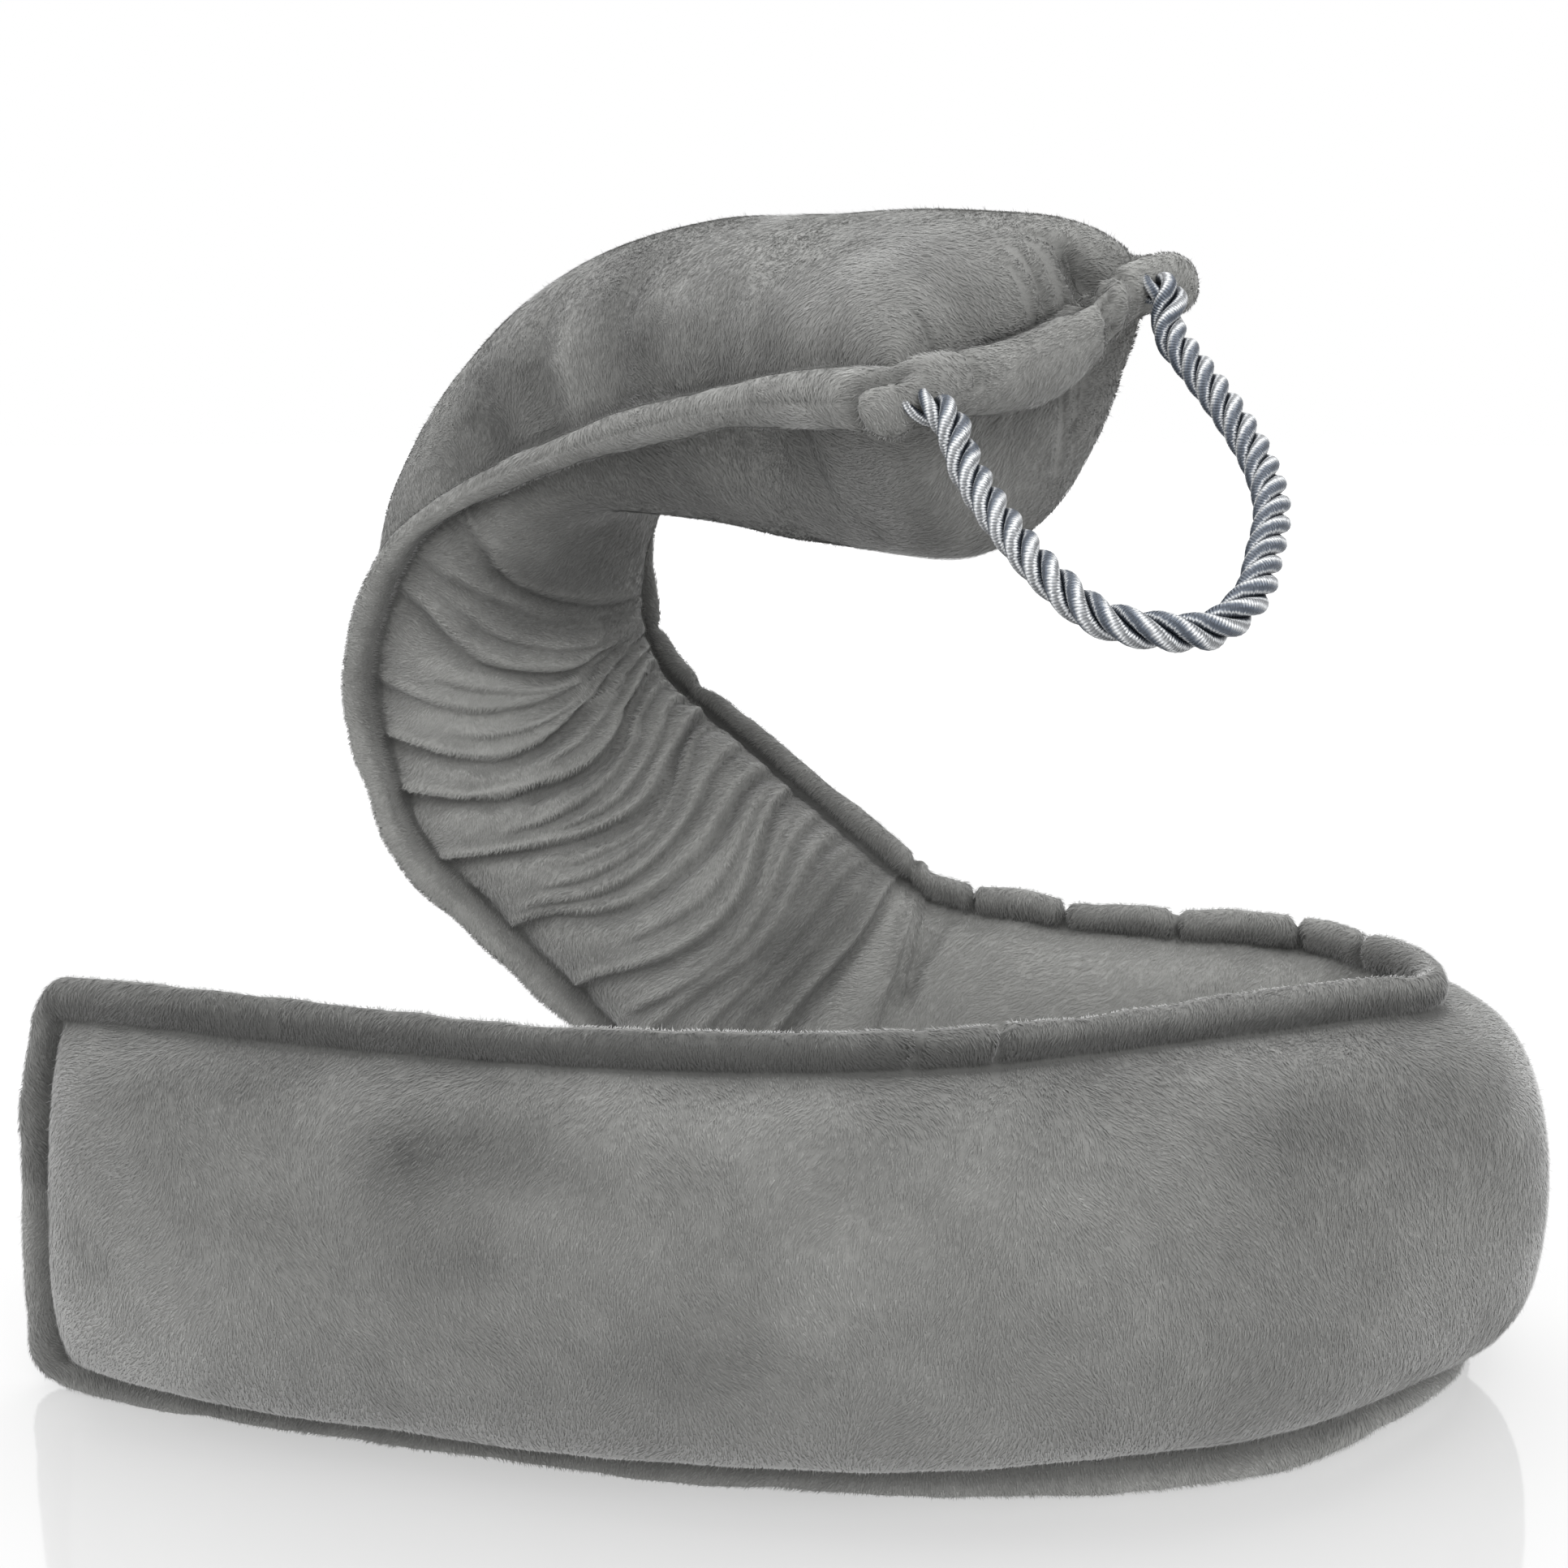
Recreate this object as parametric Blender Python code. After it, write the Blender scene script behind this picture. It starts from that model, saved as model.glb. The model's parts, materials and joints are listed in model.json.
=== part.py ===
"""Draught excluder: a long filled plush cushion with a stitched flange all round,
bent round on its long edge with one end raised and curled over, and a twisted
satin loop sewn into the raised end. Metres, +Z up, the floor at z = 0.
"""

import math
from collections import namedtuple
from functools import lru_cache

import bmesh
import bpy
import numpy as np
from mathutils import Vector

MM = 0.001

# Cushion: sizes of the cloth, in millimetres
WIDTH = 100.0
ORIGIN_SHIFT = Vector((-3.87, -94.6, 0.0))
END_HEM = 9.5
HEM_FAT_SHARE = 0.48
SEAM_HALF_THICKNESS = 1.1
CORNER_RADIUS = 12.0
CROWN_POWER = 2.4
FLOOR_END_TAPER = 34.0
RAISED_END_TAPER = 26.0
FOOT_BURY = 1.2
TUCK_REACH = 21.0

# Sections of the cushion from the end on the floor to the raised end. Each row
# gives both long edges, how far the face towards the outside of the bend and the
# face towards its inside stand out from the middle plane, the width of the
# stitched flange on each edge, and half of the flange's thickness.
Section = namedtuple(
    "Section",
    "long_x long_y long_z short_x short_y short_z outer inner long_hem short_hem roll",
)
SECTIONS = (
    Section(-168, 50, 0, -163, 45, 99, 22, 22, 9, 11, 3.6),
    Section(-108, 29, 0, -104, 25, 99, 24, 24, 8, 11, 3.6),
    Section(-45, 12, 0, -43, 4, 99, 24, 24, 8, 9, 3.6),
    Section(0, 3, 0, 0, 0, 99, 24, 23, 9, 9, 3.6),
    Section(39, 0, 0, 37, 1, 100, 24, 22, 9, 9, 3.6),
    Section(77, 2, 0, 75, 18, 99, 24, 21, 10, 9, 3.6),
    Section(108, 12, 0, 103, 34, 98, 24, 18, 10, 10, 3.6),
    Section(130, 31, 0, 125, 43, 98, 24, 14, 10, 10, 3.8),
    Section(153, 56, 0, 141, 48, 98, 23, 11, 10, 10, 4.0),
    Section(160, 78, 0, 141, 62, 99, 23, 11, 10, 10, 4.0),
    Section(147, 98, 0, 131, 81, 100, 24, 14, 10, 10, 3.8),
    Section(118, 108, 0, 111, 92, 100, 24, 18, 10, 9, 3.8),
    Section(76, 118, 0, 72, 106, 100, 24, 22, 10, 9, 3.8),
    Section(44, 130, 0, 41, 129, 100, 24, 22, 10, 9, 3.6),
    Section(10, 136, 8, 36, 132, 103, 24, 22, 10, 9, 3.6),
    Section(-16, 134, 23, 31, 134, 107, 24, 23, 10, 9, 3.4),
    Section(-57, 148, 54, -2, 170, 128, 24, 24, 10, 8, 3.2),
    Section(-88, 155, 81, -24, 195, 142, 24, 24, 10, 8, 3.2),
    Section(-103, 155, 97, -29, 201, 146, 24, 24, 10, 8, 3.2),
    Section(-112, 155, 121, -32, 205, 150, 24, 24, 10, 8, 3.2),
    Section(-115, 152, 143, -34, 207, 154, 24, 24, 10, 8, 3.4),
    Section(-109, 147, 166, -36, 209, 162, 28, 23, 10, 9, 3.6),
    Section(-99, 141, 183, -37, 209, 182, 33, 22, 10, 9, 3.8),
    Section(-73, 134, 198, -21, 202, 225, 37, 22, 10, 9, 4.4),
    Section(-52, 120, 206, 0, 190, 242, 35, 35, 10, 9, 4.8),
    Section(-21, 84, 215, 42, 150, 248, 28, 48, 11, 9, 5.5),
    Section(-3, 60, 218, 69, 121, 247, 26, 50, 11, 9, 5.9),
    Section(14, 39, 218, 88, 98, 246, 25, 48, 11, 10, 6.3),
    Section(22, 31, 214, 97, 90, 245, 25, 48, 11, 10, 6.4),
)

# Creases pressed into the face towards the inside of the bend. Each gives its place
# along the cushion at four shares of the width (CREASE_SHARES, from the long edge),
# the shares between which it shows, its depth and half of its width.
Crease = namedtuple("Crease", "near_long past_long past_short near_short begin end depth half_width")
CREASE_SHARES = (0.10, 0.35, 0.60, 0.85)
CREASES = (
    Crease(614, 576, 539, 502, 0.45, 0.95, 2.5, 11.0),
    Crease(573, 570, 566, 561, 0.00, 1.00, 9.0, 3.8),
    Crease(586, 581, 576, 575, 0.10, 0.95, 2.0, 4.0),
    Crease(602, 589, 582, 589, 0.05, 0.95, 3.0, 4.2),
    Crease(622, 599, 593, 603, 0.00, 0.95, 4.0, 4.2),
    Crease(645, 622, 613, 616, 0.00, 0.95, 5.0, 4.4),
    Crease(651, 632, 624, 635, 0.10, 1.00, 2.5, 4.2),
    Crease(674, 644, 633, 642, 0.00, 1.00, 5.5, 4.6),
    Crease(680, 654, 647, 661, 0.20, 1.00, 2.5, 4.2),
    Crease(697, 671, 657, 675, 0.00, 1.00, 6.0, 4.8),
    Crease(715, 691, 686, 712, 0.00, 1.00, 5.0, 4.8),
    Crease(732, 713, 706, 732, 0.00, 0.90, 3.0, 4.6),
    Crease(760, 737, 723, 740, 0.05, 0.90, 4.0, 4.8),
    Crease(771, 761, 753, 752, 0.05, 0.80, 2.0, 4.6),
    Crease(787, 769, 760, 760, 0.05, 0.95, 3.5, 5.0),
)
CREASE_FADE_IN = 0.15
CREASE_FADE_OUT = 0.10

# Tucks where the stitched flange is gathered: on the long edge (-1) or the short
# one (1), how far the flange drops there and how far it is pushed sideways.
Tuck = namedtuple("Tuck", "place edge drop push half_length")
TUCKS = (
    Tuck(34, 1, 0.6, -1.0, 4.0),
    Tuck(218, 1, 1.0, 1.5, 4.5),
    Tuck(395, 1, 0.8, -1.5, 4.0),
    Tuck(412, 1, 1.2, 1.5, 4.0),
    Tuck(443, 1, 1.6, -1.0, 4.5),
    Tuck(469, 1, 3.5, 1.0, 4.0),
    Tuck(491, 1, 1.2, -1.0, 4.0),
    Tuck(552, 1, 2.0, 2.0, 5.0),
    Tuck(600, 1, 0.8, 1.0, 5.0),
    Tuck(655, 1, 2.5, -1.5, 5.0),
    Tuck(735, 1, 1.5, 1.0, 5.0),
    Tuck(662, -1, 0.8, 0.8, 5.0),
    Tuck(705, -1, 0.8, -0.8, 5.0),
)

# How far the flange across the raised end leaves the middle plane, between its long
# edge (-50) and its short edge (50)
Ripple = namedtuple("Ripple", "side lift")
END_RIPPLE = (
    Ripple(-50, 0.0),
    Ripple(-45, -0.5),
    Ripple(-41, 3.0),
    Ripple(-34, 2.0),
    Ripple(-18, -1.8),
    Ripple(4, -2.4),
    Ripple(10, -1.0),
    Ripple(15, 4.0),
    Ripple(24, 5.8),
    Ripple(36, 3.6),
    Ripple(50, -3.0),
)
RIPPLE_REACH = 32.0

# Soft hollows left by the filling: face 1 is towards the outside of the bend
Hollow = namedtuple("Hollow", "place side face depth reach_along reach_across")
HOLLOWS = (
    Hollow(110, 10, 1, 1.5, 30, 20),
    Hollow(262, 18, 1, 1.5, 26, 20),
)

# Where the cross-sections are cut: each stretch runs up to this distance along the
# long edge, at this spacing; across a face, the places are shares of the flange and
# then of the filled body
Stretch = namedtuple("Stretch", "up_to step")
END_ROWS = (0.0, 0.9, 2.6, 5.0, 8.0, 9.5, 12.0, 16.0, 22.0, 30.0)
LEAST_GAP = 4.0
STRETCHES = (
    Stretch(385, 14.0),
    Stretch(550, 6.5),
    Stretch(795, 4.4),
    Stretch(2000, 10.0),
)
ACROSS_HEM = (0.0, 0.12, 0.36, 0.72, 1.0)
ACROSS_BODY = (0.06, 0.19, 0.38, 0.68)


def route_knots(table):
    """Distance along the long edge at each section."""
    knots = [0.0]
    for here, there in zip(table, table[1:]):
        knots.append(knots[-1] + math.dist(here[:3], there[:3]))
    return np.array(knots)


def spline(rows, knots, place):
    """Smooth value of every column of a table at one distance along it."""
    cell = int(min(max(np.searchsorted(knots, place) - 1, 0), len(knots) - 2))

    def slope(index):
        before = max(index - 1, 0)
        after = min(index + 1, len(knots) - 1)
        if before == index or after == index:
            return (rows[after] - rows[before]) / (knots[after] - knots[before])
        gap_before = knots[index] - knots[before]
        gap_after = knots[after] - knots[index]
        rise_before = (rows[index] - rows[before]) / gap_before
        rise_after = (rows[after] - rows[index]) / gap_after
        return (rise_before * gap_after + rise_after * gap_before) / (gap_before + gap_after)

    span = knots[cell + 1] - knots[cell]
    t = (place - knots[cell]) / span
    value = rows[cell] * (2 * t**3 - 3 * t**2 + 1) + rows[cell + 1] * (3 * t**2 - 2 * t**3)
    value += slope(cell) * (t**3 - 2 * t**2 + t) * span
    return value + slope(cell + 1) * (t**3 - t**2) * span


SECTION_ROWS = np.array(SECTIONS, dtype=float)
KNOTS = route_knots(SECTIONS)
LENGTH = float(KNOTS[-1])
RIPPLE_ROWS = np.array([[ripple.lift] for ripple in END_RIPPLE])
RIPPLE_KNOTS = np.array([ripple.side for ripple in END_RIPPLE], dtype=float)
CREASE_KNOTS = np.array(CREASE_SHARES)
CREASE_LINES = [np.array(crease[:4], dtype=float)[:, None] for crease in CREASES]
SLOPE_STEP = 1.0


@lru_cache(maxsize=None)
def section_at(place):
    """The section at one place, with the way from edge to edge and the way it faces."""
    section = Section(*spline(SECTION_ROWS, KNOTS, place))
    before = spline(SECTION_ROWS, KNOTS, max(place - SLOPE_STEP, 0.0))
    after = spline(SECTION_ROWS, KNOTS, min(place + SLOPE_STEP, LENGTH))
    along = Vector(after[0:3] + after[3:6] - before[0:3] - before[3:6]).normalized()
    long_edge = Vector(section[0:3])
    across = Vector(section[3:6]) - long_edge
    facing = along.cross(across).normalized()
    return section, long_edge, across, along, facing


def bell(offset, half_width):
    """A smooth bump, 1 in the middle and close to 0 beyond two half widths."""
    return math.exp(-((offset / half_width) ** 2))


def ease(value):
    """A smooth step from 0 to 1."""
    value = min(max(value, 0.0), 1.0)
    return value * value * (3 - 2 * value)


def edge_distance(from_end, from_side):
    """Distance to the round-cornered outline of the flange."""
    if from_end < CORNER_RADIUS and from_side < CORNER_RADIUS:
        return CORNER_RADIUS - math.hypot(CORNER_RADIUS - from_end, CORNER_RADIUS - from_side)
    return min(from_end, from_side)


def outline_half_width(from_end):
    """Half the width of the outline at this distance from the end."""
    if from_end >= CORNER_RADIUS:
        return WIDTH / 2
    reach = CORNER_RADIUS**2 - (CORNER_RADIUS - from_end) ** 2
    return WIDTH / 2 - CORNER_RADIUS + math.sqrt(max(reach, 0.0))


def flange_stand(share, roll):
    """Half thickness of the flange, from its round edge (0) to the seam (1)."""
    if share < HEM_FAT_SHARE:
        return roll * math.sqrt(1 - (1 - share / HEM_FAT_SHARE) ** 2)
    fall = (share - HEM_FAT_SHARE) / (1 - HEM_FAT_SHARE)
    swell = math.cos(math.pi / 2 * fall) ** 2
    return SEAM_HALF_THICKNESS + (roll - SEAM_HALF_THICKNESS) * swell


def crown_share(reach):
    """Share of the full crown, from 0 at the seam to 1 on the middle line."""
    inside = 1 - min(max(reach, 0.0), 1.0)
    return (1 - inside**CROWN_POWER) ** (1 / CROWN_POWER)


@lru_cache(maxsize=None)
def crease_places(share):
    """Each crease's place along the cushion at one share of the width."""
    return [float(spline(line, CREASE_KNOTS, share)[0]) for line in CREASE_LINES]


def pressed_in(place, side, face):
    """How deep the creases and hollows are at one point of a face."""
    depth = 0.0
    for hollow in HOLLOWS:
        if hollow.face == face:
            over = bell(side - hollow.side, hollow.reach_across)
            depth += hollow.depth * bell(place - hollow.place, hollow.reach_along) * over
    if face > 0:
        return depth
    share = side / WIDTH + 0.5
    for crease, line in zip(CREASES, crease_places(share)):
        fade = ease((share - crease.begin) / CREASE_FADE_IN)
        fade *= ease((crease.end - share) / CREASE_FADE_OUT)
        depth += crease.depth * fade * bell(place - line, crease.half_width)
    return depth


def stand_out(place, side, face, section):
    """How far a face stands from the middle plane; side runs from -50 to 50."""
    from_end = min(place, LENGTH - place)
    from_side = WIDTH / 2 - abs(side)
    hem = section.long_hem if side < 0 else section.short_hem
    distance = edge_distance(from_end, from_side)
    share = max(distance, 0.0) / (hem if from_side < from_end else END_HEM)
    if share <= 1.0:
        return flange_stand(share, section.roll)
    over_side = crown_share((from_side - hem) / (WIDTH / 2 - hem))
    taper = FLOOR_END_TAPER if place < LENGTH / 2 else RAISED_END_TAPER
    over_end = crown_share((from_end - END_HEM) / taper)
    crown = section.outer if face > 0 else section.inner
    swell = (crown - SEAM_HALF_THICKNESS) * over_side * over_end
    dip = pressed_in(place, side, face) * min(over_side, over_end)
    return SEAM_HALF_THICKNESS + max(swell - dip, 0.0)


def flange_shift(place, side):
    """Drop of the flange along the width and its push out of the middle plane."""
    drop = 0.0
    push = 0.0
    edge = 1 if side > 0 else -1
    near_edge = ease(1 - (WIDTH / 2 - abs(side)) / TUCK_REACH)
    for tuck in TUCKS:
        if tuck.edge == edge:
            strength = bell(place - tuck.place, tuck.half_length) * near_edge
            drop += tuck.drop * strength
            push += tuck.push * strength
    if LENGTH - place < RIPPLE_REACH:
        lift = float(spline(RIPPLE_ROWS, RIPPLE_KNOTS, side)[0])
        push += lift * ease(1 - (LENGTH - place) / RIPPLE_REACH)
    return drop, push


def cloth_point(place, side, face):
    """A point of the cloth; face is 1 outside the bend, -1 inside it, 0 at the edge."""
    section, long_edge, across, _, facing = section_at(place)
    drop, push = flange_shift(place, side)
    stand = stand_out(place, side, face, section) if face else 0.0
    lower = side - math.copysign(drop, side)
    point = long_edge + across * (0.5 + lower / WIDTH) + facing * (stand * face + push)
    point += ORIGIN_SHIFT
    point.z = max(point.z - FOOT_BURY, 0.0)
    return point * MM


def places_along():
    """The cross-sections' places along the long edge."""
    places = list(END_ROWS)
    stop = LENGTH - END_ROWS[-1]
    while places[-1] < stop:
        step = next(stretch.step for stretch in STRETCHES if places[-1] < stretch.up_to)
        places.append(places[-1] + step)
    while places[-1] > stop - LEAST_GAP:
        places.pop()
    places.extend(LENGTH - row for row in reversed(END_ROWS))
    return places


def sides_across(place):
    """The places of one cross-section's points, from the long edge to the short one."""
    section = section_at(place)[0]
    from_end = min(place, LENGTH - place)
    squeeze = outline_half_width(from_end) / (WIDTH / 2)
    sides = []
    for edge, hem in ((-1, section.long_hem), (1, section.short_hem)):
        body = WIDTH / 2 - hem
        half = [WIDTH / 2 - share * hem for share in ACROSS_HEM]
        half += [body - share * body for share in ACROSS_BODY]
        if edge < 0:
            sides += [-side * squeeze for side in half] + [0.0]
        else:
            sides += [side * squeeze for side in reversed(half)]
    return sides


def filled_cushion():
    """Loft the two faces of the cushion and close them along the flange's edge."""
    places = places_along()
    mesh = bmesh.new()
    faces = {1: [], -1: []}
    for row, place in enumerate(places):
        sides = sides_across(place)
        lines = {1: [], -1: []}
        for column, side in enumerate(sides):
            on_edge = row in (0, len(places) - 1) or column in (0, len(sides) - 1)
            if on_edge:
                vertex = mesh.verts.new(cloth_point(place, side, 0))
                lines[1].append(vertex)
                lines[-1].append(vertex)
            else:
                for face, line in lines.items():
                    line.append(mesh.verts.new(cloth_point(place, side, face)))
        for face, line in lines.items():
            faces[face].append(line)
    for face, grid in faces.items():
        for line, next_line in zip(grid, grid[1:]):
            for column in range(len(line) - 1):
                corners = [line[column], next_line[column], next_line[column + 1], line[column + 1]]
                mesh.faces.new(corners if face > 0 else reversed(corners))
    return mesh


# Loop: a three-strand twisted cord, in millimetres
CORD_DIAMETER = 7.5
CORD_LAY = 20.0
STRANDS = 3
STRAND_SHARE = 0.464
GROOVE_FLOOR = 0.6
SIDES_PER_STRAND = 4
CORD_STEPS = 112
CORD_GAP = 0.4
CORD_STRAIGHT = 4.0
CORD_SIDES = (-42.0, 27.0)
CORD_ROUTE = (
    (36, 21, 205),
    (43, 7, 194),
    (50, -4, 186),
    (58, -11, 180),
    (68, -14, 178),
    (78, -12, 178),
    (86, -6, 183),
    (91, 6, 190),
    (95, 19, 198),
    (95, 32, 206),
    (91, 45, 216),
    (86, 57, 225),
    (82, 67, 233),
)


def cord_centre():
    """The cord's route between the two places where the end flange holds it."""
    along = section_at(LENGTH)[3]
    ends = []
    for side in CORD_SIDES:
        seat = cloth_point(LENGTH, side, 0) / MM
        ends.append((seat + along * CORD_GAP, seat + along * CORD_STRAIGHT))
    points = [ends[0][0], ends[0][1]]
    points += [Vector(point) + ORIGIN_SHIFT for point in CORD_ROUTE]
    points += [ends[1][1], ends[1][0]]
    return [tuple(point) for point in points]


def strand_reach(angle):
    """Distance from the cord's axis to its surface, at an angle from a strand."""
    radius = CORD_DIAMETER / 2
    strand = radius * STRAND_SHARE
    centre = radius - strand
    inside = strand**2 - (centre * math.sin(angle)) ** 2
    reach = centre * math.cos(angle) + math.sqrt(max(inside, 0.0))
    return max(reach, radius * GROOVE_FLOOR)


def hanging_loop():
    """Loft the cord's lobed section along its route, turning with the lay."""
    route = np.array(cord_centre())
    knots = route_knots(cord_centre())
    total = float(knots[-1])
    mesh = bmesh.new()
    rings = []
    normal = None
    sector = 2 * math.pi / STRANDS
    for step in range(CORD_STEPS + 1):
        place = total * step / CORD_STEPS
        centre = Vector(spline(route, knots, place))
        ahead = Vector(spline(route, knots, min(place + 0.5, total)))
        behind = Vector(spline(route, knots, max(place - 0.5, 0.0)))
        tangent = (ahead - behind).normalized()
        if normal is None:
            normal = tangent.orthogonal()
        normal = (normal - tangent * normal.dot(tangent)).normalized()
        binormal = tangent.cross(normal)
        twist = 2 * math.pi * place / CORD_LAY
        ring = []
        for strand in range(STRANDS):
            for facet in range(SIDES_PER_STRAND):
                angle = sector * (facet / SIDES_PER_STRAND - 0.5)
                turn = twist + sector * strand + angle
                outward = normal * math.cos(turn) + binormal * math.sin(turn)
                ring.append(mesh.verts.new((centre + outward * strand_reach(angle)) * MM))
        rings.append(ring)
    for ring, next_ring in zip(rings, rings[1:]):
        for corner in range(len(ring)):
            after = (corner + 1) % len(ring)
            mesh.faces.new((ring[corner], ring[after], next_ring[after], next_ring[corner]))
    for ring in (rings[0], rings[-1]):
        mesh.faces.new(ring)
    return mesh


def material(name, colour, roughness, metallic=0.0):
    """A plain surface in the piece's colour."""
    made = bpy.data.materials.new(name)
    made.use_nodes = True
    shader = made.node_tree.nodes["Principled BSDF"]
    shader.inputs["Base Color"].default_value = (*colour, 1.0)
    shader.inputs["Roughness"].default_value = roughness
    shader.inputs["Metallic"].default_value = metallic
    return made


def add_part(name, mesh, surface, collection):
    """Turn a bmesh into a smooth shaded object in the collection."""
    data = bpy.data.meshes.new(name)
    bmesh.ops.recalc_face_normals(mesh, faces=mesh.faces)
    mesh.to_mesh(data)
    mesh.free()
    data.materials.append(surface)
    data.shade_smooth()
    part = bpy.data.objects.new(name, data)
    collection.objects.link(part)
    return part


def main():
    for leftover in list(bpy.data.objects):
        bpy.data.objects.remove(leftover)
    collection = bpy.data.collections.new("draught_excluder")
    bpy.context.scene.collection.children.link(collection)
    plush = material("grey_plush", (0.19, 0.19, 0.185), 0.9)
    satin = material("silver_satin_cord", (0.42, 0.45, 0.49), 0.35, 0.3)
    add_part("filled_cushion", filled_cushion(), plush, collection)
    add_part("hanging_loop", hanging_loop(), satin, collection)


main()
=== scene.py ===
"""Draught excluder: a plush door cushion with a stitched flange and a twisted satin
loop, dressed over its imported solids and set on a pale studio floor.
"""

import json
import math

import bpy
import numpy as np
from bpy.props import FloatProperty, FloatVectorProperty, IntProperty, PointerProperty
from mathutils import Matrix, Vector, noise
from mathutils.kdtree import KDTree

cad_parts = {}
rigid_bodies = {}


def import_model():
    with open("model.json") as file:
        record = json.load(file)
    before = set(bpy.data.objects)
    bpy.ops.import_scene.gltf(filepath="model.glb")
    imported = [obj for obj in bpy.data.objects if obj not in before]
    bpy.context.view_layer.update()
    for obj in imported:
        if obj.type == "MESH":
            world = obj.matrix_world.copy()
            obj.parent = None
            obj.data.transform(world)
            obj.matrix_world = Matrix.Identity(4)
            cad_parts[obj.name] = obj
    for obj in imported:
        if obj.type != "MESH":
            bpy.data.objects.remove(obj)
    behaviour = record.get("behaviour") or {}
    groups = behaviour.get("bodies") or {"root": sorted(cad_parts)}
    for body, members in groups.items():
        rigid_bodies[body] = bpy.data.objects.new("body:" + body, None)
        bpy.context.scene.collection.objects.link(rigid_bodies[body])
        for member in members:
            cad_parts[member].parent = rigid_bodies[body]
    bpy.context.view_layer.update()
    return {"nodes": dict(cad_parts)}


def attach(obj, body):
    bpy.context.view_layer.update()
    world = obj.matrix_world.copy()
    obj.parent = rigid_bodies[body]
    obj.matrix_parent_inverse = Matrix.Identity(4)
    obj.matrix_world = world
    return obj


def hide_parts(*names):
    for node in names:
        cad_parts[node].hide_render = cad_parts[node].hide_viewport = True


bl_info = {
    "name": "Draught Excluder",
    "version": (1, 0, 0),
    "blender": (4, 5, 0),
    "location": "View3D > Sidebar > Draught Excluder",
    "description": "A plush door cushion with a twisted satin loop on a studio floor",
    "category": "Object",
}

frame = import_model()
MM = 0.001
ORIGIN_SHIFT = (-3.87, -94.6, 0.0)

# Both edges of the stitched flange from the end on the floor to the raised end, in
# millimetres before the shift, then the flange's width on each edge
RUN = (
    (-168, 50, 0, -163, 45, 99, 9, 11),
    (-108, 29, 0, -104, 25, 99, 8, 11),
    (-45, 12, 0, -43, 4, 99, 8, 9),
    (0, 3, 0, 0, 0, 99, 9, 9),
    (39, 0, 0, 37, 1, 100, 9, 9),
    (77, 2, 0, 75, 18, 99, 10, 9),
    (108, 12, 0, 103, 34, 98, 10, 10),
    (130, 31, 0, 125, 43, 98, 10, 10),
    (153, 56, 0, 141, 48, 98, 10, 10),
    (160, 78, 0, 141, 62, 99, 10, 10),
    (147, 98, 0, 131, 81, 100, 10, 10),
    (118, 108, 0, 111, 92, 100, 10, 9),
    (76, 118, 0, 72, 106, 100, 10, 9),
    (44, 130, 0, 41, 129, 100, 10, 9),
    (10, 136, 8, 36, 132, 103, 10, 9),
    (-16, 134, 23, 31, 134, 107, 10, 9),
    (-57, 148, 54, -2, 170, 128, 10, 8),
    (-88, 155, 81, -24, 195, 142, 10, 8),
    (-103, 155, 97, -29, 201, 146, 10, 8),
    (-112, 155, 121, -32, 205, 150, 10, 8),
    (-115, 152, 143, -34, 207, 154, 10, 8),
    (-109, 147, 166, -36, 209, 162, 10, 9),
    (-99, 141, 183, -37, 209, 182, 10, 9),
    (-73, 134, 198, -21, 202, 225, 10, 9),
    (-52, 120, 206, 0, 190, 242, 10, 9),
    (-21, 84, 215, 42, 150, 248, 11, 9),
    (-3, 60, 218, 69, 121, 247, 11, 9),
    (14, 39, 218, 88, 98, 246, 11, 10),
    (22, 31, 214, 97, 90, 245, 11, 10),
)
HALF_WIDTH = 50.0
END_HEM = 9.5
SEAM_HALF_THICKNESS = 1.1

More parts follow.
